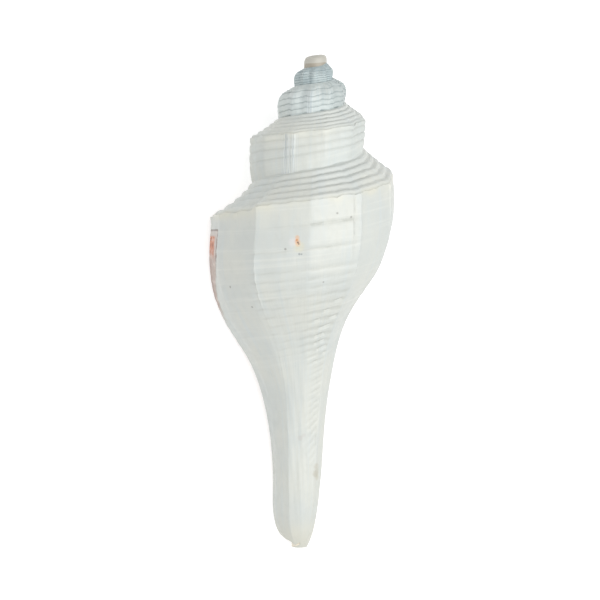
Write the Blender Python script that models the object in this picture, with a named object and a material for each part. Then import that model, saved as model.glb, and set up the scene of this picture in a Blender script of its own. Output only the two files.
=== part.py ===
"""A white spindle-shaped conch shell, 180 mm long, lying on a table with its mouth down.

The shell is one grown piece. Its wall is a tube coiled round an axis, wider by a fixed share with
each turn, so every whorl has the same outline at its own scale: a sloping ramp below the seam with
the whorl above, a sharp shoulder, an upright side, and a base that draws in to a long open canal.
The outside is lofted along the coil. The hollow is a second loft, cut out of the first.

"back" below is the distance back along the coil from the outer lip, in whorls: 0 at the lip, 1 one
turn behind it, and BACK_AT_APEX where the coil begins. Depths run down the axis from the apex.
"""

import math

import bmesh
import bpy
import numpy as np
from mathutils import Matrix

MM = 0.001

# Driving dimensions, in millimetres
LENGTH = 180.0
SHOULDER_RADIUS = 36.9
LIP_THICKNESS = 2.0
PROTOCONCH_RADIUS = 4.15
PROTOCONCH_SHIFT = 0.5

# How the coil narrows from the lip to the apex: radius = SHOULDER_RADIUS exp(-(a back + b back^2))
NARROWING = 0.456
NARROWING_NEAR_APEX = 0.016
# Depth of the seam above a shoulder of radius R: a + b R + c R^2
SEAM_DEPTH = (-0.85, 0.702, 0.0162)
# Height of the ramp, as a share of the radius, on the last whorls and near the apex
RAMP_HEIGHT = 0.30
RAMP_HEIGHT_NEAR_APEX = 0.13
# How far the ramp is dished: much near the lip, little behind it
RAMP_DISH = 0.04
LIP_DROP = 1.2
BACK_AT_APEX = 3.9

# Outlines below the shoulder: share of the depth from shoulder to canal tip, and radius as a share
# of the shoulder's. The first is at the outer lip, the second half a turn behind it, and the third
# one turn behind it, where it forms the inner side of the mouth and the pillar of the canal.
LIP_OUTLINE = (
    (0.0, 1.0), (0.03, 0.985), (0.12, 0.995), (0.175, 0.98), (0.23, 0.945), (0.27, 0.90),
    (0.32, 0.83), (0.37, 0.725), (0.42, 0.615), (0.47, 0.53), (0.53, 0.45), (0.60, 0.388),
    (0.70, 0.338), (0.80, 0.315), (0.88, 0.305), (0.93, 0.275), (0.965, 0.215), (1.0, 0.11),
)
HALF_TURN_OUTLINE = (
    (0.0, 0.99), (0.05, 1.015), (0.10, 1.02), (0.15, 0.985), (0.20, 0.91), (0.24, 0.825),
    (0.28, 0.71), (0.33, 0.565), (0.38, 0.455), (0.43, 0.385), (0.50, 0.322), (0.60, 0.272),
    (0.72, 0.236), (0.81, 0.218), (0.88, 0.195), (0.95, 0.15), (0.985, 0.10), (1.0, 0.07),
)
PILLAR_OUTLINE = (
    (0.0, 1.0), (0.05, 1.005), (0.093, 0.975), (0.154, 0.83), (0.216, 0.605), (0.278, 0.43),
    (0.33, 0.345), (0.42, 0.265), (0.62, 0.20), (0.85, 0.165), (0.95, 0.14), (0.985, 0.11),
    (1.0, 0.08),
)
# Depth from shoulder to the end of the pillar, as a share of the radius, one turn or more back
PILLAR_REACH = 6.48

# Relief: spiral cords on the ramp, and folds that run down the whorls. On the last whorl a fold
# is only a crease between two flatter faces. Towards the apex it swells to a knob at the shoulder.
RAMP_CORDS = 5
CORD_HEIGHT = 0.016
FOLDS_PER_WHORL = 11
FIRST_FOLD = 0.157
FOLD_LIFTS = ((0.157, 0.034), (0.248, -0.018))
FOLD_SLIPS = ((0.5, 1.0, 0.031), (1.5, 2.1, 0.040))
APEX_RISES = ((2.75, 3.0, 0.6), (3.25, 3.5, 0.8))
FLATNESS = 0.85
KNOB_HEIGHT = 0.11
KNOB_DROP = 0.03
# The margin of the outer lip is turned outwards below the shoulder.
SHOULDER_ROUNDING = 0.11
LIP_FLARE = 0.6
LIP_FLARE_WIDTH = 0.0625

# Mesh steps
COLUMNS = 44
RAMP_ROWS = 2 * RAMP_CORDS
SIDE_ROWS = 3
BASE_ROWS = 21
HOLLOW_STEPS_PER_WHORL = 24
HOLLOW_WALL_POINTS = 13

# The hollow: how far out of the mouth its cutter starts and how far back it runs, in whorls
HOLLOW_START = -0.035
HOLLOW_END = 0.45
# Thickness of the glaze laid on the whorl behind the mouth
GLAZE = 0.5
CANAL_THICKENING = 9.0
PILLAR_RADIUS = 5.5
# The canal's hollow keeps its width from here to the tip.
CANAL_END = 7.0

# How the shell lies, on the edge of its lip, the whorl behind the mouth and the canal: turned
# about its own axis, tipped apex up, then moved so that it touches z = 0
REST_ROLL = 32.82
REST_PITCH = 9.02
REST_OFFSET = (3.8, 88.85, 32.28)


def smooth_curve(points, at):
    """A cubic curve through (x, y) points, read at the values in at, with no overshoot."""
    x, y = np.array(points, float).T
    step = np.diff(x)
    slope = np.diff(y) / step
    tangent = np.zeros_like(y)
    same_way = slope[:-1] * slope[1:] > 0
    inner = 2 * slope[:-1] * slope[1:] / np.where(same_way, slope[:-1] + slope[1:], 1)
    tangent[1:-1] = np.where(same_way, inner, 0)
    tangent[0], tangent[-1] = slope[0], slope[-1]
    at = np.clip(at, x[0], x[-1])
    k = np.clip(np.searchsorted(x, at, side="right") - 1, 0, len(step) - 1)
    h = step[k]
    s = (at - x[k]) / h
    return (
        (1 + 2 * s) * (1 - s) ** 2 * y[k]
        + s * (1 - s) ** 2 * h * tangent[k]
        + s * s * (3 - 2 * s) * y[k + 1]
        + s * s * (s - 1) * h * tangent[k + 1]
    )


def ease(value, low, high):
    """0 below low and 1 above high, with a smooth rise between them."""
    s = np.clip((value - low) / (high - low), 0, 1)
    return s * s * (3 - 2 * s)


def shoulder_radius(back):
    return SHOULDER_RADIUS * np.exp(-(NARROWING * back + NARROWING_NEAR_APEX * back**2))


def seam_depth(back):
    """Depth of the seam where this whorl's ramp joins the whorl above."""
    a, b, c = SEAM_DEPTH
    radius = shoulder_radius(back)
    return a + b * radius + c * radius**2


def shoulder_depth(back):
    share = RAMP_HEIGHT + (RAMP_HEIGHT_NEAR_APEX - RAMP_HEIGHT) * ease(back, 1.2, 2.8)
    drop = LIP_DROP * (1 - ease(back, FIRST_FOLD - 0.012, FIRST_FOLD))
    return seam_depth(back) + share * shoulder_radius(back) + drop


def wall_radius(back, depth):
    """Radius of the side and base of the whorl at this depth."""
    shoulder = shoulder_depth(back)
    reach = np.where(back < 1, LENGTH - shoulder, PILLAR_REACH * shoulder_radius(back))
    share = (depth - shoulder) / reach
    least = 0.004
    lip, half, pillar = (
        np.log(smooth_curve(outline, share) + least)
        for outline in (LIP_OUTLINE, HALF_TURN_OUTLINE, PILLAR_OUTLINE)
    )
    turn = np.clip(back, 0, 1)
    weights = (
        (1 - turn) * (1 - 2 * turn),
        4 * turn * (1 - turn),
        turn * (2 * turn - 1),
    )
    blend = weights[0] * lip + weights[1] * half + weights[2] * pillar
    return shoulder_radius(back) * (np.exp(blend) - least)


def from_fold(back):
    """Distance from the nearest fold: 0 on it, 0.5 halfway to the next."""
    slip = sum(amount * float(ease(back, start, end)) for start, end, amount in FOLD_SLIPS)
    return 0.5 - abs((back - FIRST_FOLD - slip) * FOLDS_PER_WHORL % 1 - 0.5)


def fold(back, fade):
    """What the folds add to the radius, as a share of it. fade is 0 at the shoulder, 1 at the foot."""
    half_face = math.pi / FOLDS_PER_WHORL
    flat = math.cos(half_face) / math.cos(half_face * (1 - 2 * from_fold(back))) - 1
    crease = FLATNESS * (flat + (1 - math.cos(half_face)) / 2) * (1 - 0.25 * fade)
    swell = KNOB_HEIGHT * float(ease(back, 0.9, 2.4)) * math.cos(2 * math.pi * from_fold(back)) / 2
    lift = sum(amount * max(1 - abs(back - at) * FOLDS_PER_WHORL, 0) for at, amount in FOLD_LIFTS)
    return crease + lift + swell * (1 - 0.75 * fade)


def knob_drop(back):
    """How far a knob pulls the shoulder down, in millimetres."""
    wave = math.cos(2 * math.pi * from_fold(back)) / 2
    return KNOB_DROP * shoulder_radius(back) * float(ease(back, 0.9, 2.0)) * wave


def rounding(back, share):
    """How far the shoulders of the upper whorls draw in, share of the way from the edge."""
    most = SHOULDER_ROUNDING * shoulder_radius(back) * float(ease(back, 1.65, 2.1))
    return most * max(1 - share, 0) ** 2


def lip_flare(back, depth):
    """What the turned margin of the lip adds to the radius, in millimetres."""
    share = (depth - shoulder_depth(0.0)) / (LENGTH - shoulder_depth(0.0))
    along = float(1 - ease(share, 0.24, 0.36))
    return LIP_FLARE * along * float(1 - ease(back, 0.0, LIP_FLARE_WIDTH))


def ramp_point(back, share):
    """Radius and depth on the ramp, share of the way from the seam to the shoulder."""
    radius, depth = shoulder_radius(back), shoulder_depth(back)
    seam = seam_depth(back)
    seam_radius = wall_radius(back + 1, seam)
    seam -= sum(rise * float(ease(back, start, end)) for start, end, rise in APEX_RISES)
    cord = CORD_HEIGHT * radius * (0.5 - 0.5 * math.cos(2 * math.pi * RAMP_CORDS * share))
    lift = radius * fold(back, 0.0) * share**2
    dish = RAMP_DISH * radius * (1 - 0.7 * float(ease(back, 0.0, 0.5))) * 4 * share * (1 - share)
    out = seam_radius + (radius - seam_radius) * share - rounding(back, 0.0) * share**3
    down = seam + (depth - seam) * share + knob_drop(back) * share**2
    return out + 0.6 * cord + lift - dish, down - 0.8 * cord + 0.25 * dish


def side_point(back, share):
    """Radius and depth on the upright side, share of the way from the shoulder to the next seam."""
    top, bottom = shoulder_depth(back), seam_depth(back - 1)
    depth = top + (bottom - top) * share + knob_drop(back) * (1 - share) ** 2
    lift = shoulder_radius(back) * fold(back, share) * (1 - 0.5 * share * (back > 1))
    radius = wall_radius(back, depth) + lift + lip_flare(back, depth)
    return radius - rounding(back, share / 0.45), depth


def base_point(back, share):
    """Radius and depth on the base and canal, share of the way from the side to the canal's tip."""
    top = seam_depth(back - 1)
    depth = top + (LENGTH - top) * (1 - (1 - share) ** 1.45)
    radius = wall_radius(back, depth)
    return radius * (1 + fold(back, 1.0)) + lip_flare(back, depth), depth


def place(back, radius, depth):
    """A point of the shell in its own frame: apex up, the outer lip at -X."""
    angle = math.pi + 2 * math.pi * back
    return (radius * math.cos(angle), radius * math.sin(angle), -depth)


def mesh_object(name, points, faces, collection):
    mesh = bpy.data.meshes.new(name)
    mesh.from_pydata([[c * MM for c in p] for p in points], [], faces)
    build = bmesh.new()
    build.from_mesh(mesh)
    bmesh.ops.recalc_face_normals(build, faces=build.faces)
    build.to_mesh(mesh)
    build.free()
    mesh.shade_smooth()
    obj = bpy.data.objects.new(name, mesh)
    collection.objects.link(obj)
    return obj


def outside(collection):
    """The shell as a filled form: the coil's outside, closed by a wall across the mouth."""
    band = RAMP_ROWS + SIDE_ROWS
    whole = band + BASE_ROWS
    last = round(BACK_AT_APEX * COLUMNS)
    points, number = [], {}

    def add(key, point):
        number[key] = len(points)
        points.append(point)

    for i in range(last):
        back = i / COLUMNS
        for j in range(band):
            if j < RAMP_ROWS:
                radius, depth = ramp_point(back, j / RAMP_ROWS)
            else:
                radius, depth = side_point(back, (j - RAMP_ROWS) / SIDE_ROWS)
            # The first whorl grows out of the whorl below it, from nothing.
            born = float(ease(BACK_AT_APEX - back, 0.0, 0.45))
            foot = seam_depth(back - 1)
            foot_radius = wall_radius(back, foot)
            radius = foot_radius + (radius - foot_radius) * born
            depth = foot + (depth - foot) * born
            add((i, j), place(back, float(radius), float(depth)))
    for i in range(COLUMNS + 1):
        for k in range(BASE_ROWS):
            if i == COLUMNS and k == 0:
                continue
            radius, depth = base_point(i / COLUMNS, k / BASE_ROWS)
            if i == COLUMNS:
                start = seam_depth(0.0)
                depth = start + (LENGTH - start) * (1 - (1 - k / BASE_ROWS) ** 1.45)
                radius = wall_radius(1.0, depth)
            add((i, band + k), place(i / COLUMNS, float(radius), float(depth)))
    tip = len(points)
    points.append((0.0, 0.0, -LENGTH))

    def vertex(i, j):
        if j == whole:
            return tip
        if i >= last:
            return number[(last - COLUMNS, 0)]
        if j == band and i >= COLUMNS:
            return number[(i - COLUMNS, 0)]
        return number[(i, j)]

    faces = []

    def face(*corners):
        corners = list(dict.fromkeys(corners))
        if len(corners) > 2:
            faces.append(corners)

    for i in range(last):
        for j in range(whole if i < COLUMNS else band):
            face(vertex(i, j), vertex(i + 1, j), vertex(i + 1, j + 1), vertex(i, j + 1))
    lip = [vertex(0, j) for j in range(whole)]
    pillar = [vertex(COLUMNS, j) for j in range(band + 1, whole)]
    faces.append(lip + [tip] + pillar[::-1])

    # The protoconch: a blunt, slightly tilted dome on the ring where the coil begins
    ring = [vertex(i, 0) for i in range(last - COLUMNS, last)]
    for depth, share in ((3.0, 1.0), (1.7, 0.98), (0.8, 0.85), (0.27, 0.56)):
        above = []
        for i in range(last - COLUMNS, last):
            above.append(len(points))
            tilt = 0.4 * share * math.cos(2 * math.pi * i / COLUMNS)
            x, y, z = place(i / COLUMNS, PROTOCONCH_RADIUS * share, depth + tilt)
            points.append((x - PROTOCONCH_SHIFT, y, z))
        for k in range(COLUMNS):
            n = (k + 1) % COLUMNS
            face(ring[k], ring[n], above[n], above[k])
        ring = above
    apex = len(points)
    points.append((-PROTOCONCH_SHIFT, 0.0, 0.0))
    for k in range(COLUMNS):
        face(ring[k], ring[(k + 1) % COLUMNS], apex)
    return mesh_object("conch_shell", points, faces, collection)


def hollow_end(back):
    """Depth at which the hollow closes: past the canal's tip near the mouth, and higher behind it."""
    open_end = LENGTH + 4.0
    closed_end = shoulder_depth(back) + 2.0 * shoulder_radius(back)
    return open_end + (closed_end - open_end) * float(ease(back, 0.16, 0.50))


def hollow_floor(back, depth):
    """Radius of the hollow's inner side: the glazed whorl behind it, and the pillar below that."""
    depth = min(depth, LENGTH - CANAL_END)
    pillar = min(float(wall_radius(1.0, depth)), PILLAR_RADIUS)
    return max(float(wall_radius(back + 1, depth)), pillar) + GLAZE


def hollow_section(back):
    """Points round the hollow in the plane through the axis, from its top corner and back."""
    thickness = LIP_THICKNESS * (0.35 + 0.65 * float(np.exp(-0.35 * max(back, 0))))
    radius = shoulder_radius(back)
    seam, shoulder = seam_depth(back), shoulder_depth(back)
    top = seam + 1.5 * thickness
    bottom = hollow_end(back)
    outer, inner = [], []
    ramp_points = 4
    for k in range(ramp_points):
        s = k / (ramp_points - 1)
        corner = hollow_floor(back, top)
        outer.append((
            corner + (radius - thickness - corner) * s,
            top + (shoulder + 0.9 * thickness - top) * s,
        ))
    start = shoulder + 0.9 * thickness
    for k in range(1, HOLLOW_WALL_POINTS + 1):
        depth = start + (bottom - start) * k / HOLLOW_WALL_POINTS
        share = (depth - shoulder) / (LENGTH - shoulder)
        canal = float(ease(share, 0.35, 0.65))
        wall = thickness + CANAL_THICKENING * max(back, 0) * canal - 0.4 * canal
        shown = min(depth, LENGTH - CANAL_END)
        outer.append((float(wall_radius(back, shown)) - wall, depth))
    for k in range(HOLLOW_WALL_POINTS, 0, -1):
        depth = top + (bottom - top) * k / HOLLOW_WALL_POINTS
        inner.append((hollow_floor(back, depth), depth))
    # Where the walls would meet, a sliver of room is kept between them.
    least = 0.5
    section = []
    for out, depth in outer:
        floor = hollow_floor(back, depth) + least
        section.append((max(out, floor) if depth > top + 0.01 else out, depth))
    return section + inner


def hollow(collection):
    """The cutter for the mouth, the canal and the chamber inside the last whorls."""
    steps = round((HOLLOW_END - HOLLOW_START) * HOLLOW_STEPS_PER_WHORL)
    points, faces = [], []
    size = len(hollow_section(0.0))
    for i in range(steps + 1):
        back = HOLLOW_START + (HOLLOW_END - HOLLOW_START) * i / steps
        points += [place(back, r, d) for r, d in hollow_section(back)]
    for i in range(steps):
        for k in range(size):
            n = (k + 1) % size
            a, b = i * size, (i + 1) * size
            faces.append((a + k, a + n, b + n, b + k))
    faces.append(tuple(range(size)))
    faces.append(tuple(range(steps * size, (steps + 1) * size)))
    return mesh_object("hollow", points, faces, collection)


def shell_material():
    """White bleached shell with a low polish."""
    material = bpy.data.materials.new("white shell")
    material.use_nodes = True
    surface = material.node_tree.nodes["Principled BSDF"]
    surface.inputs["Base Color"].default_value = (0.79, 0.80, 0.77, 1)
    surface.inputs["Roughness"].default_value = 0.35
    surface.inputs["Metallic"].default_value = 0.0
    return material


def main():
    for obj in list(bpy.data.objects):
        bpy.data.objects.remove(obj)
    parts = bpy.data.collections.new("conch shell")
    cutters = bpy.data.collections.new("cutters")
    for group in (parts, cutters):
        bpy.context.scene.collection.children.link(group)

    shell = outside(parts)
    shell.data.materials.append(shell_material())
    chamber = hollow(cutters)
    chamber.hide_render = True
    chamber.display_type = "WIRE"
    cut = shell.modifiers.new("hollow", "BOOLEAN")
    cut.operation = "DIFFERENCE"
    cut.solver = "EXACT"
    cut.object = chamber

    lie_down = (
        Matrix.Translation([c * MM for c in REST_OFFSET])
        @ Matrix.Rotation(math.radians(REST_PITCH), 4, "X")
        @ Matrix.Rotation(math.radians(-REST_ROLL), 4, "Y")
        @ Matrix.Rotation(math.radians(-90), 4, "X")
    )
    for obj in (shell, chamber):
        obj.matrix_world = lie_down


main()
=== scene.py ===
import math

import bpy
import numpy as np
from mathutils import Matrix, Vector


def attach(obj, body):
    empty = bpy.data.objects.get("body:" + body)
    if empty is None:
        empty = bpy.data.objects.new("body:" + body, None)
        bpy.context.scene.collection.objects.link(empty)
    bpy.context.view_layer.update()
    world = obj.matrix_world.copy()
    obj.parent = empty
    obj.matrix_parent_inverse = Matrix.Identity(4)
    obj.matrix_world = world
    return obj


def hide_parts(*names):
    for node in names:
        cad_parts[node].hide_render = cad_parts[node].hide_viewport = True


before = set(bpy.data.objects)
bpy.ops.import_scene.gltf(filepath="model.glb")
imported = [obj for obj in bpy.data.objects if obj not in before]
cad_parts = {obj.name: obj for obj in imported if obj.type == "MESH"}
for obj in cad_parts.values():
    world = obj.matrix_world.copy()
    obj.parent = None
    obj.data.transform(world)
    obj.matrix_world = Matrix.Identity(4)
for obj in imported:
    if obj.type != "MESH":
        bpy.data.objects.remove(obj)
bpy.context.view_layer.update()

# The shell: one piece of aragonite that its animal laid down along a coil, a strip at a time.
# The outside is weathered white with spiral cords and growth marks, and the mouth is lined
# with a smoother glaze. It lies on the edge of its lip and the tip of its canal.

MM = 0.001

# The coil, with the solid's own sizes in millimetres. "back" is the distance back along the coil
# from the outer lip, in whorls, and depths run down the axis from the apex.
LENGTH = 180.0
SHOULDER_RADIUS = 36.9
NARROWING = 0.456
NARROWING_NEAR_APEX = 0.016
SEAM_DEPTH = (-0.85, 0.702, 0.0162)
RAMP_HEIGHT = 0.30
RAMP_HEIGHT_NEAR_APEX = 0.13
LIP_DROP = 1.2
FIRST_FOLD = 0.157
BACK_AT_APEX = 3.9


def ease(value, low, high):
    """0 below low and 1 above high, with a smooth rise between them."""
    s = np.clip((value - low) / (high - low), 0, 1)
    return s * s * (3 - 2 * s)


def shoulder_radius(back):
    return SHOULDER_RADIUS * np.exp(-(NARROWING * back + NARROWING_NEAR_APEX * back**2))


def seam_depth(back):
    a, b, c = SEAM_DEPTH
    radius = shoulder_radius(back)
    return a + b * radius + c * radius**2


def shoulder_depth(back):
    share = RAMP_HEIGHT + (RAMP_HEIGHT_NEAR_APEX - RAMP_HEIGHT) * ease(back, 1.2, 2.8)
    drop = LIP_DROP * (1 - ease(back, FIRST_FOLD - 0.012, FIRST_FOLD))
    return seam_depth(back) + share * shoulder_radius(back) + drop


# Outlines below the shoulder: share of the depth from shoulder to canal tip, and radius as a
# share of the shoulder's, at the outer lip, half a turn behind it and one turn behind it.
LIP_OUTLINE = (
    (0.0, 1.0), (0.03, 0.985), (0.12, 0.995), (0.175, 0.98), (0.23, 0.945), (0.27, 0.90),
    (0.32, 0.83), (0.37, 0.725), (0.42, 0.615), (0.47, 0.53), (0.53, 0.45), (0.60, 0.388),
    (0.70, 0.338), (0.80, 0.315), (0.88, 0.305), (0.93, 0.275), (0.965, 0.215), (1.0, 0.11),
)
HALF_TURN_OUTLINE = (
    (0.0, 0.99), (0.05, 1.015), (0.10, 1.02), (0.15, 0.985), (0.20, 0.91), (0.24, 0.825),
    (0.28, 0.71), (0.33, 0.565), (0.38, 0.455), (0.43, 0.385), (0.50, 0.322), (0.60, 0.272),
    (0.72, 0.236), (0.81, 0.218), (0.88, 0.195), (0.95, 0.15), (0.985, 0.10), (1.0, 0.07),
)
PILLAR_OUTLINE = (
    (0.0, 1.0), (0.05, 1.005), (0.093, 0.975), (0.154, 0.83), (0.216, 0.605), (0.278, 0.43),
    (0.33, 0.345), (0.42, 0.265), (0.62, 0.20), (0.85, 0.165), (0.95, 0.14), (0.985, 0.11),
    (1.0, 0.08),
)
# On the upper whorls an outline is this deep, in shoulder radii
PILLAR_REACH = 6.48


def smooth_curve(points, at):
    """A cubic curve through (x, y) points, read at the values in at, with no overshoot."""
    x, y = np.array(points, float).T
    step = np.diff(x)
    slope = np.diff(y) / step
    tangent = np.zeros_like(y)
    same_way = slope[:-1] * slope[1:] > 0
    inner = 2 * slope[:-1] * slope[1:] / np.where(same_way, slope[:-1] + slope[1:], 1)
    tangent[1:-1] = np.where(same_way, inner, 0)
    tangent[0], tangent[-1] = slope[0], slope[-1]
    at = np.clip(at, x[0], x[-1])
    k = np.clip(np.searchsorted(x, at, side="right") - 1, 0, len(step) - 1)
    h = step[k]
    s = (at - x[k]) / h
    return (
        (1 + 2 * s) * (1 - s) ** 2 * y[k]
        + s * (1 - s) ** 2 * h * tangent[k]
        + s * s * (3 - 2 * s) * y[k + 1]
        + s * s * (s - 1) * h * tangent[k + 1]
    )


def wall_radius(back, depth):
    """Radius of the side and base of the whorl at this depth."""
    shoulder = shoulder_depth(back)
    reach = np.where(back < 1, LENGTH - shoulder, PILLAR_REACH * shoulder_radius(back))
    share = (depth - shoulder) / reach
    least = 0.004
    lip, half, pillar = (
        np.log(smooth_curve(outline, share) + least)
        for outline in (LIP_OUTLINE, HALF_TURN_OUTLINE, PILLAR_OUTLINE)
    )
    turn = np.clip(back, 0, 1)
    blend = (
        (1 - turn) * (1 - 2 * turn) * lip
        + 4 * turn * (1 - turn) * half
        + turn * (2 * turn - 1) * pillar
    )
    return shoulder_radius(back) * (np.exp(blend) - least)


# The folds: flat faces between creases that run lengthways, which swell to knobs near the apex.
# A lift is a fold that stands out or lies back. A slip is where the folds fall behind an even
# spacing: from where to where, and how far.
FOLDS_PER_WHORL = 11
FOLD_LIFTS = ((0.157, 0.034), (0.248, -0.018))
FOLD_SLIPS = ((0.5, 1.0, 0.031), (1.5, 2.1, 0.040))
FLATNESS = 0.85
KNOB_HEIGHT = 0.11
KNOB_DROP = 0.03
SHOULDER_ROUNDING = 0.11


def from_fold(back):
    """Distance from the nearest fold: 0 on it, 0.5 halfway to the next."""
    slip = sum(amount * ease(back, start, end) for start, end, amount in FOLD_SLIPS)
    return 0.5 - np.abs((back - FIRST_FOLD - slip) * FOLDS_PER_WHORL % 1 - 0.5)


def fold(back, fade):
    """What the folds add to the radius, as a share of it. fade is 0 at the shoulder, 1 at the foot."""
    half_face = math.pi / FOLDS_PER_WHORL
    flat = math.cos(half_face) / np.cos(half_face * (1 - 2 * from_fold(back))) - 1
    crease = FLATNESS * (flat + (1 - math.cos(half_face)) / 2) * (1 - 0.25 * fade)
    swell = KNOB_HEIGHT * ease(back, 0.9, 2.4) * np.cos(2 * math.pi * from_fold(back)) / 2
    lift = sum(
        amount * np.maximum(1 - abs(back - at) * FOLDS_PER_WHORL, 0) for at, amount in FOLD_LIFTS
    )
    return crease + lift + swell * (1 - 0.75 * fade)


def knob_drop(back):
    """How far a knob pulls the shoulder down, in millimetres."""
    wave = np.cos(2 * math.pi * from_fold(back)) / 2
    return KNOB_DROP * shoulder_radius(back) * ease(back, 0.9, 2.0) * wave


def rounding(back, share):
    """How far the shoulders of the upper whorls draw in, share of the way from the edge."""
    size = SHOULDER_ROUNDING * shoulder_radius(back) * ease(back, 1.65, 2.1)
    return size * np.maximum(1 - share, 0) ** 2


# The lip: its margin turns out a little, and its edge is worn round.
LIP_FLARE = 0.6
LIP_FLARE_WIDTH = 0.0625
EDGE_ROUNDING = 0.6
# Columns of the mesh that follow the rounded edge, as distances back from it
EDGE_COLUMNS = (0.0008, 0.0017, 0.0028, 0.0042)


def lip_flare(back, depth):
    """What the turned margin of the lip adds to the radius."""
    share = (depth - shoulder_depth(0.0)) / (LENGTH - shoulder_depth(0.0))
    along = 1 - ease(share, 0.24, 0.36)
    return LIP_FLARE * along * (1 - ease(back, 0.0, LIP_FLARE_WIDTH))


def lip_rounding(back):
    """How far the outside draws in at the lip's very edge."""
    t = np.clip(back / EDGE_COLUMNS[-1], 0, 1)
    return EDGE_ROUNDING * (1 - np.sqrt(1 - (1 - t) ** 2))


# Fine relief, in millimetres: grooves between the cords, growth lines, and the wear that keeps
# the finished surface just inside the solid's.
GROOVE_DEPTH = 0.42
GROOVE_WIDTH = 0.45
BODY_GROOVES = (65.0, 73.7, 81.0, 84.2)
BODY_GROOVE_SPACING = 3.25
WEAR = 0.25
# Thin raised growth lines on the last whorl: where round it, from what depth to what depth
GROWTH_LINES = (
    (0.112, 52, 68), (0.157, 70, 92), (0.327, 47, 73), (0.340, 46, 80), (0.427, 40, 70),
)
GROWTH_LINE_HEIGHT = 0.28
GROWTH_LINE_WIDTH = 0.0012


def groove(distance, width):
    """1 in the middle of a groove, falling to 0 a few widths away."""
    return np.exp(-((distance / width) ** 2))


def nearest_whole(value):
    return np.abs(value - np.round(value))


def wobble(back, depth):
    """The slight unevenness of growth, in millimetres."""
    turn = 2 * math.pi * back
    return (
        0.10 * np.sin(5.3 * turn + 0.11 * depth)
        + 0.08 * np.sin(3.1 * turn - 0.19 * depth + 1.3)
        + 0.05 * np.sin(17.7 * turn + 0.05 * depth + 0.4)
        + 0.04 * np.sin(29.1 * turn - 0.31 * depth + 2.1)
    )


def waver(back):
    """How the cords waver along the coil, as a share of a cord's width."""
    turn = 2 * math.pi * back
    amount = 0.65 + 0.35 * ease(back, 1.0, 2.0)
    wave = 0.07 * np.sin(11 * turn + 0.6) + 0.05 * np.sin(23.3 * turn)
    return amount * (wave + 0.04 * np.sin(37.7 * turn + 2))


def ledge(back):
    """The uneven edge of the shoulder, where one growth strip laps over the next, in millimetres."""
    step = (back * FOLDS_PER_WHORL * 2 - 0.6) % 1
    turn = 2 * math.pi * back
    lap = 0.55 * ease(step, 0.0, 0.85) * (1 - ease(step, 0.9, 1.0)) * (0.6 + 0.4 * np.sin(3.7 * turn))
    size = shoulder_radius(back) / SHOULDER_RADIUS
    return size * (lap + 0.14 * np.sin(31.3 * turn) + 0.10 * np.sin(57.9 * turn + 1))


def growth_line(back, depth):
    """The thin raised lines that run down the last whorl, in millimetres."""
    total = 0.0
    for line, start, end in GROWTH_LINES:
        along = ease(depth, start - 1, start + 3) * (1 - ease(depth, end - 8, end))
        broken = 0.65 + 0.35 * np.sin(1.1 * depth + 40 * line) * np.sin(0.37 * depth)
        total = total + GROWTH_LINE_HEIGHT * along * broken * groove(back - line, GROWTH_LINE_WIDTH)
    return total


def body_groove(back, depth):
    """The faint spiral grooves of the last whorl, which climb away from the lip."""
    climb = 27 + 40 * ease(depth, 95, 135)
    course = depth + climb * back
    first = BODY_GROOVES[-1]
    nearest = np.abs(course - BODY_GROOVES[0])
    for place_of_groove in BODY_GROOVES[1:]:
        nearest = np.minimum(nearest, np.abs(course - place_of_groove))
    lower = nearest_whole((course - first) / BODY_GROOVE_SPACING) * BODY_GROOVE_SPACING
    nearest = np.where(course > first, lower, nearest)
    strength = 0.24 + 0.14 * ease(course, first - 2, first + 12)
    facets = 0.4 + 0.8 * ease(back, FIRST_FOLD - 0.02, FIRST_FOLD) + 0.7 * ease(back, 0.245, 0.25)
    strength = strength * (facets - 1.5 * ease(back, 0.325, 0.345) + 0.5 * ease(back, 0.5, 0.6))
    on_canal = ease(depth, 98, 116)
    uneven = 0.3 * (1 - on_canal) * np.sin(2 * math.pi * (3.3 * back + 0.021 * course))
    strength = strength * (1 + uneven)
    strength = strength * (1 - on_canal * (1 - 0.08 - 0.50 * groove(back - 0.305, 0.05)))
    fade = (1 - ease(depth, 132, 160)) * (1 - ease(back, 0.82, 0.97))
    return strength * fade * groove(nearest, 0.56 + 0.2 * on_canal)


def side_groove(back, share):
    """The grooves between the cords on the sides of the upper whorls."""
    size = shoulder_radius(back) / SHOULDER_RADIUS
    upper = ease(back, 1.6, 1.85)
    wide = 1.9 * sum(groove(share - at, 0.034) for at in (0.14, 0.35, 0.58))
    cords = np.where(back < 2.9, 4, 5)
    close = groove(nearest_whole(share * cords + waver(back)), 0.11) * (share > 0.1)
    strength = GROOVE_DEPTH * (0.5 + 0.6 * ease(back, 1.3, 2.1)) * (0.35 + size)
    return strength * ((1 - upper) * wide + upper * close)


# The stretches of a whorl: the corded ramp from the seam out to the shoulder, the upright side
# below it, and on the last whorl the base that runs down into the canal.
RAMP_CORDS = 5
CORD_HEIGHT = 0.016
RAMP_DISH = 0.04
APEX_RISES = ((2.75, 3.0, 0.6), (3.25, 3.5, 0.8))


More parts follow.
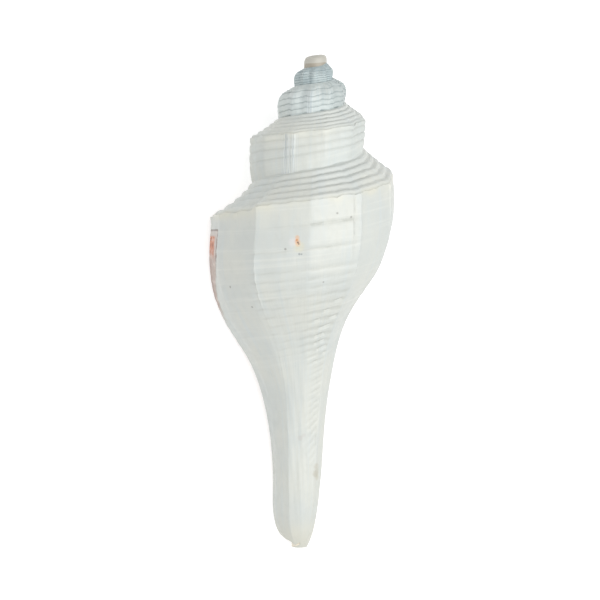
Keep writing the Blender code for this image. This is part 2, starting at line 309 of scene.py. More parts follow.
def ramp(back, share):
    """Radius, depth and groove on the ramp, share of the way from the seam to the shoulder."""
    radius, depth = shoulder_radius(back), shoulder_depth(back)
    seam = seam_depth(back)
    seam_radius = wall_radius(back + 1, seam)
    seam = seam - sum(rise * ease(back, start, end) for start, end, rise in APEX_RISES)
    wave = np.cos(2 * math.pi * (RAMP_CORDS * share + waver(back) * 4 * share * (1 - share)))
    cord = CORD_HEIGHT * radius * (0.5 - 0.5 * wave)
    lift = radius * fold(back, 0.0) * share**2
    dish = RAMP_DISH * radius * (1 - 0.7 * ease(back, 0.0, 0.5)) * 4 * share * (1 - share)
    length = np.hypot(radius - seam_radius, depth - seam)
    away = nearest_whole(RAMP_CORDS * share + waver(back)) * length / RAMP_CORDS
    inner = ease(share, 0.02, 0.08) * (1 - ease(share, 0.93, 0.98))
    size = (radius / SHOULDER_RADIUS) ** 0.6
    turn = 2 * math.pi * back
    uneven_cut = 0.75 + 0.25 * np.sin(9.3 * turn + 14 * share) * np.sin(4.1 * turn - 9 * share)
    uneven_cut = uneven_cut * (1 - 0.5 * ease(share, 0.65, 0.75))
    cut = groove(away, GROOVE_WIDTH * size) * inner * uneven_cut
    # A groove just inside the shoulder's edge; its mark also paints shade along the edge
    cut = np.maximum(cut, 1.3 * groove((1 - share) * length - 0.55 * size, 0.45 * size))
    out = seam_radius + (radius - seam_radius) * share
    down = seam + (depth - seam) * share
    uneven = wobble(back, down) * share * (1 - share) * 2
    down = down + knob_drop(back) * share**2 + ledge(back) * share**6
    out = out - rounding(back, 0.0) * share**3 - WEAR * share
    deep = 0.65 * GROOVE_DEPTH * size * cut
    out = out + 0.6 * cord + lift - dish - 0.5 * deep + uneven
    return out, down - 0.8 * cord + 0.25 * dish + 0.8 * deep, cut


def side(back, share):
    """Radius, depth and groove on the upright side, share of the way to the next seam."""
    top, bottom = shoulder_depth(back), seam_depth(back - 1)
    depth = top + (bottom - top) * share + (knob_drop(back) + ledge(back)) * (1 - share) ** 2
    lift = shoulder_radius(back) * fold(back, share) * (1 - 0.5 * share * (back > 1))
    upper = ease(back, 0.75, 1.15)
    cut = (1 - upper) * body_groove(back, depth) + upper * side_groove(back, share)
    inside = ease(share, 0.0, 0.15)
    radius = wall_radius(back, depth) + lift + lip_flare(back, depth) + growth_line(back, depth)
    radius = radius + wobble(back, depth) * inside - rounding(back, share / 0.45) - WEAR
    return radius - cut, depth, cut / GROOVE_DEPTH


def base(back, depth):
    """Radius and groove on the base and the canal."""
    cut = body_groove(back, depth)
    radius = wall_radius(back, depth) * (1 + fold(back, 1.0)) + lip_flare(back, depth)
    radius = radius + growth_line(back, depth)
    near_end = 1 - ease(depth, 150, 178)
    radius = radius - cut + wobble(back, depth) * near_end - WEAR
    return np.maximum(radius, 0.05), cut / GROOVE_DEPTH


def place(back, radius, depth):
    """Points in the shell's own frame, in metres: apex up, the outer lip at -X."""
    angle = math.pi + 2 * math.pi * back
    return np.stack([radius * np.cos(angle), radius * np.sin(angle), -depth + 0 * back], -1) * MM


# The mesh of the outside. Each corner of a face keeps where it is on the coil for the materials
# to read, divided by these so that the values stay below 1.
MARKED_WHORLS = 4.0
MARKED_DEPTH = 200.0
EVEN_COLUMNS = 176
CLOSEST_COLUMNS = 0.0003
GROWTH_LINE_STEPS = (-0.0016, -0.0008, 0, 0.0008, 0.0016)
RAMP_ROWS = 40
SIDE_ROWS = 40
BASE_ROWS = 134
# The rows of the base, further apart towards the canal's tip
BASE_CROWDING = 1.25
# The radius under which the lip's edge is rounded less, towards the canal's tip
ROUNDING_FADE = 8.0
# What counts as near the shoulder's edge, on the side and on a ramp taken to be this long, in mm
EDGE_WIDTH = 2.2
MARKED_RAMP = 40
# How far the first whorl takes to rise out of the whorl below it
FIRST_GROWTH = 0.45

# The protoconch: the shell's first chamber, a worn dome at the apex that leans to the right.
# A ring of it has its depth and its share of the radius.
PROTOCONCH_RADIUS = 4.15
PROTOCONCH_SHIFT = 0.5
PROTOCONCH_LEAN = 0.35
PROTOCONCH_TILT = 0.4
PROTOCONCH_WEAR = 0.1
PROTOCONCH_RINGS = (
    (3.0, 1.0), (2.3, 1.0), (1.7, 0.98), (1.2, 0.93), (0.8, 0.85), (0.5, 0.73), (0.27, 0.56),
    (0.1, 0.32),
)


def marked(back, depth, cut=0.0, edge=0.0):
    """What a corner keeps: where on the coil it is, how deep in a groove, how near the edge."""
    parts = np.broadcast_arrays(back / MARKED_WHORLS, depth / MARKED_DEPTH, cut, edge)
    return np.stack(parts, -1)


def mesh_object(name, points, faces, marks):
    """An object of these faces, with what each corner of each face keeps."""
    mesh = bpy.data.meshes.new(name)
    mesh.from_pydata(points, [], faces)
    coil = mesh.attributes.new("coil", "FLOAT_COLOR", "CORNER")
    coil.data.foreach_set("color", np.array(marks, np.float32).ravel())
    made = bpy.data.objects.new(name, mesh)
    bpy.context.scene.collection.objects.link(made)
    return made


def columns_of_a_whorl():
    """Where the columns stand in one whorl: evenly, and closer at the lip and the growth lines."""
    even = {k / EVEN_COLUMNS for k in range(EVEN_COLUMNS)}
    lines = {at + step for at, _, _ in GROWTH_LINES for step in GROWTH_LINE_STEPS}
    stand = sorted(even | lines | set(EDGE_COLUMNS))
    return [at for at, after in zip(stand, stand[1:] + [1.0]) if after - at > CLOSEST_COLUMNS]


def coil_band(backs):
    """Points and marks of the ramp and side all along the coil, a column for each of backs."""
    ramp_back, ramp_share = np.meshgrid(backs, np.arange(RAMP_ROWS) / RAMP_ROWS, indexing="ij")
    side_back, side_share = np.meshgrid(backs, np.arange(SIDE_ROWS) / SIDE_ROWS, indexing="ij")
    ramp_radius, ramp_depth, ramp_cut = ramp(ramp_back, ramp_share)
    side_radius, side_depth, side_cut = side(side_back, side_share)
    radius = np.hstack([ramp_radius, side_radius]) - lip_rounding(backs)[:, None]
    depth = np.hstack([ramp_depth, side_depth])
    from_edge = np.hstack([(1 - ramp_share) * MARKED_RAMP, side_depth - side_depth[:, :1]])
    # The first whorl grows out of the whorl below it, from nothing.
    born = ease(BACK_AT_APEX - backs, 0.0, FIRST_GROWTH)[:, None]
    foot = seam_depth(backs - 1)
    foot_radius = wall_radius(backs, foot)[:, None]
    radius = foot_radius + (radius - foot_radius) * born
    depth = foot[:, None] + (depth - foot[:, None]) * born
    back = np.repeat(backs[:, None], RAMP_ROWS + SIDE_ROWS, 1)
    cuts = np.hstack([ramp_cut, side_cut])
    return place(back, radius, depth), marked(back, depth, cuts, groove(from_edge, EDGE_WIDTH))


def base_band(backs):
    """Points and marks of the base and the canal, a column for each of backs."""
    share = 1 - (1 - np.arange(BASE_ROWS) / BASE_ROWS) ** BASE_CROWDING
    back, share = np.meshgrid(backs, share, indexing="ij")
    top = seam_depth(backs - 1)[:, None]
    depth = top + (LENGTH - WEAR - top) * share
    radius, cut = base(back, depth)
    radius[-1] = wall_radius(1.0, depth[-1])
    radius = radius - lip_rounding(backs)[:, None] * np.minimum(radius / ROUNDING_FADE, 1)
    return place(back, radius, depth), marked(back, depth, cut)


def grid_faces(grid, marks):
    """Faces between the neighbours in a grid of point numbers, and the marks of their corners."""
    corners, shades = (
        np.stack([a[:-1, :-1], a[:-1, 1:], a[1:, 1:], a[1:, :-1]], 2) for a in (grid, marks)
    )
    faces, kept = [], []
    for points, tones in zip(corners.reshape(-1, 4).tolist(), shades.reshape(-1, 4, 4).tolist()):
        tone = dict(zip(points[::-1], tones[::-1]))
        points = list(dict.fromkeys(points))
        if len(points) > 2:
            faces.append(points)
            kept += [tone[point] for point in points]
    return faces, kept


def add_protoconch(points, faces, marks, ring, backs):
    """The protoconch: a blunt, slightly tilted dome on the ring where the coil begins."""
    count = len(ring)
    for level, part in PROTOCONCH_RINGS:
        above = list(range(len(points), len(points) + count))
        tilt = PROTOCONCH_TILT * part * np.cos(2 * math.pi * backs)
        radius = PROTOCONCH_RADIUS * part - PROTOCONCH_WEAR
        circle = place(backs, radius, level + tilt + PROTOCONCH_WEAR)
        shift = PROTOCONCH_SHIFT - PROTOCONCH_LEAN * PROTOCONCH_RADIUS * (1 - part)
        points += [tuple(p) for p in circle - np.array([shift * MM, 0, 0])]
        for k in range(count):
            n = (k + 1) % count
            faces.append([ring[k], ring[n], above[n], above[k]])
            marks += [marked(BACK_AT_APEX, level).tolist()] * 4
        ring = above
    shift = PROTOCONCH_SHIFT - PROTOCONCH_LEAN * PROTOCONCH_RADIUS
    points.append((-shift * MM, 0.0, -PROTOCONCH_WEAR * MM))
    faces += [[ring[k], ring[(k + 1) % count], len(points) - 1] for k in range(count)]
    marks += [marked(BACK_AT_APEX, 0.0).tolist()] * (3 * count)


def outside():
    """The shell as a filled form, closed by a wall across the mouth."""
    within = columns_of_a_whorl()
    columns = len(within)
    backs = np.array([turn + part for turn in range(5) for part in within])
    backs = backs[backs < BACK_AT_APEX]
    last = len(backs)
    base_backs = np.append(backs[:columns], 1.0)
    band_points, band_marks = coil_band(backs)
    base_points, base_marks = base_band(base_backs)
    points = [tuple(p) for part in (band_points, base_points) for p in part.reshape(-1, 3)]
    tip = len(points)
    points.append((0.0, 0.0, -(LENGTH - WEAR) * MM))

    # Point numbers, a row for each column. Their last place is what the column is sewn to: the
    # base's top, the ramp of the whorl below, or the canal's tip.
    band = RAMP_ROWS + SIDE_ROWS
    bands = np.full((last + 1, band + 1), -1)
    bands[:last, :band] = np.arange(last * band).reshape(last, band)
    bases = last * band + np.arange((columns + 1) * BASE_ROWS).reshape(columns + 1, BASE_ROWS)
    bases = np.hstack([bases, np.full((columns + 1, 1), tip)])
    bases[columns, 0] = bands[0, 0]
    bands[:columns, band] = bases[:columns, 0]
    bands[columns:last, band] = bands[: last - columns, 0]
    bands[last, :] = bands[last - columns, 0]
    bands[columns, band] = bands[0, 0]

    faces, marks = grid_faces(bands, np.pad(band_marks, ((0, 1), (0, 1), (0, 0)), "edge"))
    more = grid_faces(bases, np.pad(base_marks, ((0, 0), (0, 1), (0, 0)), "edge"))
    faces, marks = faces + more[0], marks + more[1]
    wall = bands[0, :band].tolist() + bases[0].tolist() + bases[columns, 1:-1].tolist()[::-1]
    faces.append(wall[::-1])
    marks += [marked(0.0, LENGTH / 2).tolist()] * len(wall)
    ring = bands[last - columns : last, 0].tolist()
    add_protoconch(points, faces, marks, ring, backs[last - columns :])
    return mesh_object("conch_shell_surface", points, faces, marks)


# The hollow: the mouth, the canal and the chamber, which ends not quite half a whorl in. Its
# wall thins at the lip and thickens along the canal, and a glaze covers the whorl behind it.
LIP_THICKNESS = 2.0
HOLLOW_END = 0.45
GLAZE = 0.5
CANAL_THICKENING = 9.0
PILLAR_RADIUS = 5.5
CANAL_END = 7.0
ROOF_POINTS = 10
WALL_POINTS = 60
# The cutter's sections by the lip, as distances back from it: they start in front of it and
# crowd where its edge is round. The others follow at even steps.
LIP_SECTIONS = [-0.035, -0.012, 0.0, 0.0006, 0.0013, 0.0022, 0.0034, 0.0048, 0.0062, 0.009, 0.014]
FIRST_EVEN_SECTION = 0.022
SECTION_SPACING = 0.014


def hollow_floor(back, depth):
    """Radius of the hollow's inner side: the glazed whorl behind it, and the pillar below that."""
    depth = np.minimum(depth, LENGTH - CANAL_END)
    pillar = np.minimum(wall_radius(1.0, depth), PILLAR_RADIUS)
    return np.maximum(wall_radius(back + 1, depth), pillar) + GLAZE


def hollow_section(back):
    """Points round the hollow in the plane through the axis, from its top corner and back."""
    thickness = LIP_THICKNESS * (0.35 + 0.65 * float(np.exp(-0.35 * max(back, 0))))
    t = min(max(back / 0.006, 0), 1)
    thickness -= 0.75 * (1 - math.sqrt(1 - (1 - t) ** 2))
    radius = shoulder_radius(back)
    seam, shoulder = seam_depth(back), shoulder_depth(back)
    top = seam + 1.5 * thickness
    closed = shoulder + 2.0 * radius
    bottom = LENGTH + 4.0 + (closed - LENGTH - 4.0) * float(ease(back, 0.16, 0.50))
    start = shoulder + 0.9 * thickness
    corner = float(hollow_floor(back, top))
    s = np.linspace(0, 1, ROOF_POINTS)
    roof = np.stack([corner + (radius - thickness - corner) * s, top + (start - top) * s], -1)
    depth = start + (bottom - start) * np.arange(1, WALL_POINTS + 1) / WALL_POINTS
    share = (depth - shoulder) / (LENGTH - shoulder)
    canal = ease(share, 0.35, 0.65)
    wall = thickness + CANAL_THICKENING * max(back, 0) * canal - 0.4 * canal
    radius_down = wall_radius(back, np.minimum(depth, LENGTH - CANAL_END)) - wall
    outer = np.vstack([roof, np.stack([radius_down, depth], -1)])
    least = hollow_floor(back, outer[:, 1]) + 0.5
    outer[:, 0] = np.where(outer[:, 1] > top + 0.01, np.maximum(outer[:, 0], least), outer[:, 0])
    depth = top + (bottom - top) * np.arange(WALL_POINTS, 0, -1) / WALL_POINTS
    inner = np.stack([hollow_floor(back, depth), depth], -1)
    return np.vstack([outer, inner])


def hollow():
    """The cutter for the mouth, the canal and the chamber inside the last whorl."""
    backs = LIP_SECTIONS + list(np.arange(FIRST_EVEN_SECTION, HOLLOW_END, SECTION_SPACING))
    points, faces, at = [], [], []
    for back in backs:
        section = hollow_section(back)
        size = len(section)
        points += [tuple(p) for p in place(back, section[:, 0], section[:, 1])]
        at += marked(max(back, 0), section[:, 1]).tolist()
    for i in range(len(backs) - 1):
        for k in range(size):
            n = (k + 1) % size
            a, b = i * size, (i + 1) * size
            faces.append((a + k, a + n, b + n, b + k))
    faces.append(tuple(range(size - 1, -1, -1)))
    faces.append(tuple(range((len(backs) - 1) * size, len(backs) * size)))
    return mesh_object("hollow", points, faces, [at[corner] for face in faces for corner in face])


# How the shell lies, as in the solid
REST_ROLL = 32.82
REST_PITCH = 9.02
REST_OFFSET = (3.8, 88.85, 32.28)
REST = (
    Matrix.Translation([c * MM for c in REST_OFFSET])
    @ Matrix.Rotation(math.radians(REST_PITCH), 4, "X")
    @ Matrix.Rotation(math.radians(-REST_ROLL), 4, "Y")
    @ Matrix.Rotation(math.radians(-90), 4, "X")
)


def linear(hex_colour):
    """An sRGB hex colour as the linear values that a shader takes."""
    parts = [int(hex_colour[k : k + 2], 16) / 255 for k in (1, 3, 5)]
    return [p / 12.92 if p <= 0.04045 else ((p + 0.055) / 1.055) ** 2.4 for p in parts] + [1.0]


def add(tree, *inputs, kind, **settings):
    """Adds a node with its settings, fills or links its inputs in their order, and returns its
    first output. A colour is given in hex, and None leaves an input as it is."""
    made = tree.nodes.new(kind)
    for name, value in settings.items():
        setattr(made, name, value)
    for socket, value in zip([socket for socket in made.inputs if socket.enabled], inputs):
        if isinstance(value, bpy.types.NodeSocket):
            tree.links.new(value, socket)
        elif value is not None:
            socket.default_value = linear(value) if isinstance(value, str) else value
    return next(output for output in made.outputs if output.enabled)


# Settings that many nodes share. EASED takes a value, where its rise starts and ends, and what
# it gives at each end. TINT takes a share, a colour, and the colour laid over it by that share.
# SUM adds its third value to the product of the others.
EASED = {"kind": "ShaderNodeMapRange", "interpolation_type": "SMOOTHSTEP"}
TINT = {"kind": "ShaderNodeMix", "data_type": "RGBA"}
NOISE = {"kind": "ShaderNodeTexNoise"}
PRODUCT = {"kind": "ShaderNodeMath", "operation": "MULTIPLY"}
SUM = {"kind": "ShaderNodeMath", "operation": "MULTIPLY_ADD"}


def new_material(name):
    """A material, its node tree and its surface shader."""
    material = bpy.data.materials.new(name)
    material.use_nodes = True
    tree = material.node_tree
    return material, tree, tree.nodes["Principled BSDF"]


def coil_marks(tree):
    """Where a point is on the coil, in whorls back and millimetres down, and its other marks."""
    coil = add(tree, kind="ShaderNodeAttribute", attribute_name="coil")
    marks = add(tree, coil, kind="ShaderNodeSeparateColor").node.outputs
    back = add(tree, marks["Red"], MARKED_WHORLS, **PRODUCT)
    depth = add(tree, marks["Green"], MARKED_DEPTH, **PRODUCT)
    return back, depth, marks["Blue"], coil.node.outputs["Alpha"]


def along_coil(tree, back, depth, per_whorl, spacing, climb=0.0):
    """Noise drawn out over the coil: features in a whorl, and their spacing down it in mm."""
    course = add(tree, back, climb, depth, **SUM)
    spot = add(tree, back, course, kind="ShaderNodeCombineXYZ")
    scale = (per_whorl, 1 / spacing, 1.0)
    spot = add(tree, spot, scale, kind="ShaderNodeVectorMath", operation="MULTIPLY")
    return add(tree, spot, 1.0, 3.0, **NOISE)


# Bleached aragonite: weathered nearly white, with a low polish. Spiral grooves are painted a little
# darker as shade, the shoulder's edge and the canal's tip are cream, and the whorls near the apex
# are blue-grey with growth streaks where the outer layer has worn thin.
weathered, tree, surface = new_material("bleached aragonite shell")
back, depth, groove_mark, edge_mark = coil_marks(tree)
where = add(tree, kind="ShaderNodeTexCoord").node.outputs["Object"]

# Patterns by their size in millimetres. On the last whorl the growth lines are 2.6 mm apart and
# the fine ones 0.9 mm, and the spiral threads 1.7 mm. The real fine lines and threads are finer
# than a pixel, and are drawn this coarse so that they show.
CLOUD = 18.0
PATCH = 9.0
MOTTLE = 2.4
cloud = add(tree, where, 1 / (CLOUD * MM), 3.0, **NOISE)
patch = add(tree, where, 1 / (PATCH * MM), 2.0, **NOISE)
mottle = add(tree, where, 1 / (MOTTLE * MM), 4.0, **NOISE)
growth = along_coil(tree, back, depth, 90, 30)
fine_growth = along_coil(tree, back, depth, 260, 18)
spiral = along_coil(tree, back, depth, 3, 1.7, climb=27)

colour = add(tree, add(tree, cloud, 0.35, 0.65, **EASED), "#C5C9C5", "#CBCDC6", **TINT)
share = add(tree, growth, 0.45, 0.75, 0.0, 0.45, **EASED)
colour = add(tree, share, colour, "#C2CACB", **TINT)
off_canal = add(tree, depth, 95, 120, 0.35, 0.07, **EASED)
share = add(tree, spiral, 0.5, 0.75, 0.0, off_canal, **EASED)
colour = add(tree, share, colour, "#DCDDD6", **TINT)
share = add(tree, mottle, 0.5, 0.75, 0.0, 0.25, **EASED)
colour = add(tree, share, colour, "#BFC3BE", **TINT)

# The worn whorls: blue-grey between white cords, with streaks down the growth lines, and dull
# patches near the apex
WORN = (1.0, 3.1)
OLDEST = (1.9, 2.9)
streaky = add(tree, fine_growth, 0.38, 0.62, 0.3, 0.85, **EASED)
share = add(tree, back, *WORN, 0.0, streaky, **EASED)
colour = add(tree, share, colour, "#A3B5BA", **TINT)
on_cord = add(tree, groove_mark, 0.1, 0.5, 0.45, 0.0, **EASED)
share = add(tree, back, *WORN, 0.0, on_cord, **EASED)
colour = add(tree, share, colour, "#E2E7E5", **TINT)
share = add(tree, back, *OLDEST, 0.0, 0.5, **EASED)
colour = add(tree, share, colour, "#8F9FA2", **TINT)
dull = add(tree, along_coil(tree, back, depth, 9, 4), 0.48, 0.62, 0.0, 0.2, **EASED)
share = add(tree, back, *OLDEST, 0.0, dull, **EASED)
colour = add(tree, share, colour, "#7E9299", **TINT)

# Two faces between folds, painted a darker grey: where each starts and ends, how much, and below what
# depth
DARKER_GREY_FACES = ((1.02, 1.096, 0.16, 29.0), (2.36, 2.56, 0.4, 10.2))
for start, end, strength, top in DARKER_GREY_FACES:
    share = add(tree, depth, top, top + 1.0, 0.0, strength, **EASED)
    share = add(tree, back, start - 0.02, start, 0.0, share, **EASED)
    share = add(tree, back, end, end + 0.012, share, 0.0, **EASED)
    colour = add(tree, share, colour, "#A3AAA8", **TINT)

# Painted shade in the grooves, stronger on the worn whorls, where it also gives the blue-grey between
# their cords
worn = add(tree, back, *WORN, **EASED)
groove_shade_and_grey = add(tree, worn, "#A9ABA3", "#74858B", **TINT)
share = add(tree, worn, 0.0, 0.35, 0.28, 0.6, **EASED)
share = add(tree, groove_mark, 0.2, 1.0, 0.0, share, **EASED)
colour = add(tree, share, colour, groove_shade_and_grey, **TINT)

# A bundle of fine growth streaks on each of the two whorls above the last, given as the darker
# grey faces are
STREAK_BUNDLES = ((1.152, 1.210, 0.75, 27.6), (2.205, 2.235, 0.7, 12.6))
streaks = along_coil(tree, back, depth, 420, 40)
for start, end, strength, top in STREAK_BUNDLES:
    middle, half = (start + end) / 2, (end - start) / 2
    away = add(tree, back, middle, kind="ShaderNodeMath", operation="SUBTRACT")
    away = add(tree, away, kind="ShaderNodeMath", operation="ABSOLUTE")
    near = add(tree, away, 0.5 * half, half, strength, 0.0, **EASED)
    near = add(tree, depth, top - 0.4, top + 0.8, 0.0, near, **EASED)
    share = add(tree, streaks, 0.52, 0.60, 0.0, near, **EASED)
    colour = add(tree, share, colour, "#A6B0B6", **TINT)
    share = add(tree, streaks, 0.40, 0.48, near, 0.0, **EASED)
    colour = add(tree, share, colour, "#D9E0E2", **TINT)

# Cream along the shoulder of the last whorls, and at the canal's tip
CREAM_FADES = (0.9, 1.6)
share = add(tree, patch, 0.40, 0.64, 0.05, 0.45, **EASED)
share = add(tree, back, *CREAM_FADES, share, 0.0, **EASED)
share = add(tree, share, edge_mark, **PRODUCT)
colour = add(tree, share, colour, "#D6D3C0", **TINT)
share = add(tree, back, *CREAM_FADES, 0.35, 0.0, **EASED)
share = add(tree, depth, 164, 178, 0.0, share, **EASED)
colour = add(tree, share, colour, "#D2CCB6", **TINT)

# The protoconch: horn-coloured, browner at its foot
horn = add(tree, add(tree, depth, 2.4, 3.4, **EASED), "#B7B4AA", "#968A77", **TINT)
share = add(tree, back, BACK_AT_APEX - 0.02, BACK_AT_APEX - 0.005, 0.0, 0.95, **EASED)
colour = add(tree, share, colour, horn, **TINT)

# Stains and pin-pricks, each where it is on the shell, with its radius in millimetres, colour
# and strength. The mottling frays their edges.
SPOTS = (
    ((-4.3, -32.8, -66.2), 2.0, "#DDD3A8", 0.25),
    ((-6.6, -32.7, -64.4), 1.8, "#D9D3D2", 0.4),
    ((-5.0, -32.7, -62.9), 0.9, "#E0A468", 0.45),
    ((-4.9, -32.8, -64.2), 1.0, "#DFA066", 0.5),
    ((-4.7, -32.8, -65.3), 0.9, "#E3B484", 0.4),
    ((-5.1, -32.8, -63.8), 0.45, "#BC7A44", 0.6),
    ((-4.7, -32.8, -64.6), 0.35, "#5A4A44", 0.8),
    ((-4.4, -32.8, -65.1), 0.3, "#6A5A50", 0.75),
    ((-4.1, -32.5, -68.7), 0.45, "#8A9092", 0.7),
    ((-3.3, -32.5, -68.7), 0.35, "#8A9092", 0.7),
    ((4.4, -5.9, -151.2), 1.9, "#ADA896", 0.55),
    ((4.5, -6.0, -148.6), 1.4, "#B6B1A1", 0.45),
    ((4.8, -4.9, -152.9), 1.3, "#B5B09C", 0.4),
    ((-1.6, -9.3, -137.7), 1.1, "#B3ACA6", 0.3),
    ((-0.4, -9.2, -136.7), 0.9, "#B3ACA6", 0.25),
    ((-9.0, -32.3, -67.1), 0.45, "#7C7A74", 0.55),
    ((4.6, -28.7, -78.6), 0.45, "#7C7A74", 0.55),
    ((8.7, -30.1, -54.2), 0.4, "#7C7A74", 0.55),
    ((13.6, -28.4, -55.5), 0.4, "#7C7A74", 0.55),
    ((-28.2, -18.7, -82.6), 0.45, "#7C7A74", 0.55),
    ((-20.1, -23.1, -88.9), 0.45, "#7C7A74", 0.55),
)
for point, radius, stain, strength in SPOTS:
    centre = REST @ (Vector(point) * MM)
    away = add(tree, where, centre, kind="ShaderNodeVectorMath", operation="DISTANCE")
    away = add(tree, mottle, -radius * MM, away, **SUM)
    share = add(tree, away, 0.0, 0.7 * radius * MM, strength, 0.0, **EASED)
    colour = add(tree, share, colour, stain, **TINT)

# The margin of the lip: a strip of unbleached shell, orange near its top, with a dark line along
# its inner edge. It narrows downwards. "across" is 0 at the lip and 1 at the inner edge, and
# "level" is a depth that slants as the strip's top end does.
STRIP_TOP = 64.2
STRIP_WIDTH = (0.056, 0.024)
STRIP_SLANT = 1.4
limit = add(tree, depth, 72, 92, *STRIP_WIDTH, **EASED)
across = add(tree, back, limit, kind="ShaderNodeMath", operation="DIVIDE")
level = add(tree, across, STRIP_SLANT, depth, **SUM)
along = add(tree, depth, 90, 99, 1.0, 0.0, **EASED)
along = add(tree, level, STRIP_TOP, STRIP_TOP + 0.4, 0.0, along, **EASED)
blotch = along_coil(tree, back, depth, 220, 2.2)
orange = add(tree, across, 0.62, 0.88, 1.0, 0.0, **EASED)
orange = add(tree, level, STRIP_TOP + 2.0, STRIP_TOP + 3.0, 0.0, orange, **EASED)
orange = add(tree, depth, 69.5, 75.0, orange, 0.0, **EASED)
strip = add(tree, add(tree, depth, 67, 73, **EASED), "#C0B9B3", "#B4A298", **TINT)
strip = add(tree, orange, strip, "#D26C26", **TINT)
share = add(tree, add(tree, blotch, 0.48, 0.56, 0.0, 0.85, **EASED), orange, **PRODUCT)
strip = add(tree, share, strip, "#8E421C", **TINT)
share = add(tree, across, 0.35, 0.7, 0.75, 0.0, **EASED)
share = add(tree, depth, 72, 77, 0.0, share, **EASED)
strip = add(tree, share, strip, "#987A70", **TINT)
share = add(tree, blotch, 0.38, 0.50, 0.6, 0.0, **EASED)
strip = add(tree, share, strip, "#D2C6BE", **TINT)
share = add(tree, add(tree, across, 0.93, 0.97, 0.9, 0.0, **EASED), along, **PRODUCT)
colour = add(tree, share, colour, strip, **TINT)

# The dark line down the strip's edge, broken and fainter lower down, and the one across its top
rim = add(tree, across, 0.90, 0.96, 0.0, along, **EASED)
rim = add(tree, across, 1.02, 1.08, rim, 0.0, **EASED)
rim = add(tree, rim, add(tree, mottle, 0.42, 0.55, 0.3, 0.85, **EASED), **PRODUCT)
rim = add(tree, rim, add(tree, depth, 73, 77, 1.0, 0.35, **EASED), **PRODUCT)
colour = add(tree, rim, colour, "#7A5A50", **TINT)
share = add(tree, across, 0.98, 1.02, 0.7, 0.0, **EASED)
share = add(tree, level, STRIP_TOP - 0.2, STRIP_TOP + 0.1, 0.0, share, **EASED)
share = add(tree, level, STRIP_TOP + 0.4, STRIP_TOP + 0.8, share, 0.0, **EASED)
colour = add(tree, share, colour, "#6E5F58", **TINT)

tree.links.new(colour, surface.inputs["Base Color"])
roughness = add(tree, mottle, 0.3, 0.7, 0.40, 0.55, **EASED)
tree.links.new(roughness, surface.inputs["Roughness"])
surface.inputs["IOR"].default_value = 1.46
relief = 0.0
for pattern, height in ((fine_growth, 0.35), (growth, 0.5), (spiral, 0.5), (mottle, 0.35)):
    relief = add(tree, pattern, height, relief, **SUM)
bump = add(tree, 0.5, 0.35 * MM, None, relief, kind="ShaderNodeBump")
tree.links.new(bump, surface.inputs["Normal"])

# Glazed aragonite, the mouth's lining: the same shell laid down smooth and glossy, cream at the
# lip and peach further in, with the faintest growth lines, 3.9 mm apart.
lining, tree, surface = new_material("glazed aragonite lining")
back, depth, _, _ = coil_marks(tree)
growth = along_coil(tree, back, depth, 60, 40)
colour = add(tree, add(tree, back, 0.0, 0.12, **EASED), "#E6DFD0", "#E4BF9F", **TINT)
share = add(tree, growth, 0.4, 0.7, 0.0, 0.4, **EASED)
colour = add(tree, share, colour, "#E9D3BD", **TINT)
share = add(tree, depth, 110, 160, **EASED)
colour = add(tree, share, colour, "#E3DCCB", **TINT)
tree.links.new(colour, surface.inputs["Base Color"])
roughness = add(tree, growth, 0.3, 0.7, 0.12, 0.2, **EASED)
tree.links.new(roughness, surface.inputs["Roughness"])
surface.inputs["IOR"].default_value = 1.55
bump = add(tree, 0.25, 0.3 * MM, None, growth, kind="ShaderNodeBump")
tree.links.new(bump, surface.inputs["Normal"])

# The finished shell: the filled form with the hollow cut out of it, laid down as it rests.
# Edges sharper than this, in degrees, stay sharp.
SHARP_ANGLE = 50
shell = outside()
chamber = hollow()
for piece in (shell, chamber):
    piece.data.materials.append(weathered)
    piece.data.materials.append(lining)
chamber.data.polygons.foreach_set("material_index", [1] * len(chamber.data.polygons))
cut = shell.modifiers.new("hollow", "BOOLEAN")
cut.operation = "DIFFERENCE"
cut.solver = "EXACT"
cut.object = chamber
graph = bpy.context.evaluated_depsgraph_get()
finished = bpy.data.meshes.new_from_object(shell.evaluated_get(graph))
shell.modifiers.clear()
shell.data = finished
bpy.data.objects.remove(chamber)
shell.data.polygons.foreach_set("use_smooth", [True] * len(shell.data.polygons))
shell.data.set_sharp_from_angle(angle=math.radians(SHARP_ANGLE))
shell.data.transform(REST)
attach(shell, "root")
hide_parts("conch_shell")

# The table: a sheet of matt white paper that the shell lies on. It gives off a little light of
# its own, so that the eye sees plain white with a faint soft shadow.
FLOOR_REACH = 3.0
paper, tree, surface = new_material("white paper")
surface.inputs["Base Color"].default_value = linear("#B4B4B4")
surface.inputs["Roughness"].default_value = 0.9
surface.inputs["Emission Color"].default_value = linear("#FFFFFF")
surface.inputs["Emission Strength"].default_value = 0.75
corners = [(x * FLOOR_REACH, y * FLOOR_REACH, 0) for x, y in ((-1, -1), (1, -1), (1, 1), (-1, 1))]
floor_mesh = bpy.data.meshes.new("floor")
floor_mesh.from_pydata(corners, [], [(0, 1, 2, 3)])
floor_mesh.materials.append(paper)
floor = bpy.data.objects.new("floor", floor_mesh)
bpy.context.scene.collection.objects.link(floor)

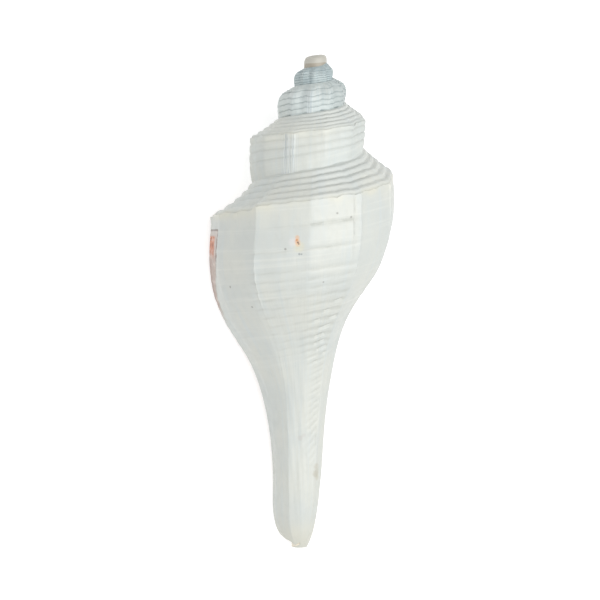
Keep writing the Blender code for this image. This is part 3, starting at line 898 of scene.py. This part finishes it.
# The camera looks squarely at the back of the shell from the side of its lip, apex up. The
# centre of its picture is given in millimetres from the middle of the shell's axis.
CAMERA_TILT = 7.0
CAMERA_LEAN = 1.8
CAMERA_DISTANCE = 0.9
CAMERA_CENTRE = (-3.31, 1.36)
PIXELS_PER_MM = 2.763
PICTURE_WIDTH = 600
SENSOR = 36.0

tilt, lean = math.radians(CAMERA_TILT), math.radians(CAMERA_LEAN)
side_way = Vector((1, 0, 0))
back_way = Vector((0, -math.cos(tilt), math.sin(tilt)))
up_way = back_way.cross(side_way)
right_way = side_way * math.cos(lean) + up_way * math.sin(lean)
up_way = up_way * math.cos(lean) - side_way * math.sin(lean)
centre = Vector((0, 0, -LENGTH / 2)) + right_way * CAMERA_CENTRE[0] + up_way * CAMERA_CENTRE[1]
turn = Matrix((right_way, up_way, back_way)).transposed().to_4x4()
camera = bpy.data.cameras.new("camera")
camera.sensor_width = SENSOR
camera.lens = SENSOR * CAMERA_DISTANCE / (PICTURE_WIDTH / PIXELS_PER_MM * MM)
viewer = bpy.data.objects.new("camera", camera)
bpy.context.scene.collection.objects.link(viewer)
viewer.matrix_world = REST @ Matrix.Translation(centre * MM + back_way * CAMERA_DISTANCE) @ turn
bpy.context.scene.camera = viewer

# The light: one large soft box to the right of the camera, in a pale room. It points at the
# axis this far below the apex, in millimetres.
LIT_DEPTH = 80
KEY_RIGHT = 0.53
KEY_FRONT = 0.85
KEY_DISTANCE = 1.1
KEY_SIZE = 1.2
KEY_POWER = 16.5
ROOM_STRENGTH = 0.34

light = bpy.data.lights.new("key", "AREA")
light.energy = KEY_POWER
light.size = KEY_SIZE
lamp = bpy.data.objects.new("key", light)
bpy.context.scene.collection.objects.link(lamp)
key_way = (REST.to_3x3() @ (side_way * KEY_RIGHT + back_way * KEY_FRONT)).normalized()
lamp.location = REST @ Vector((0, 0, -LIT_DEPTH * MM)) + key_way * KEY_DISTANCE
lamp.rotation_euler = (-key_way).to_track_quat("-Z", "Y").to_euler()

world = bpy.data.worlds.new("studio")
bpy.context.scene.world = world
world.use_nodes = True
room = world.node_tree.nodes["Background"].inputs
room["Color"].default_value = linear("#FFFFFF")
room["Strength"].default_value = ROOM_STRENGTH
bpy.context.scene.view_settings.view_transform = "Standard"
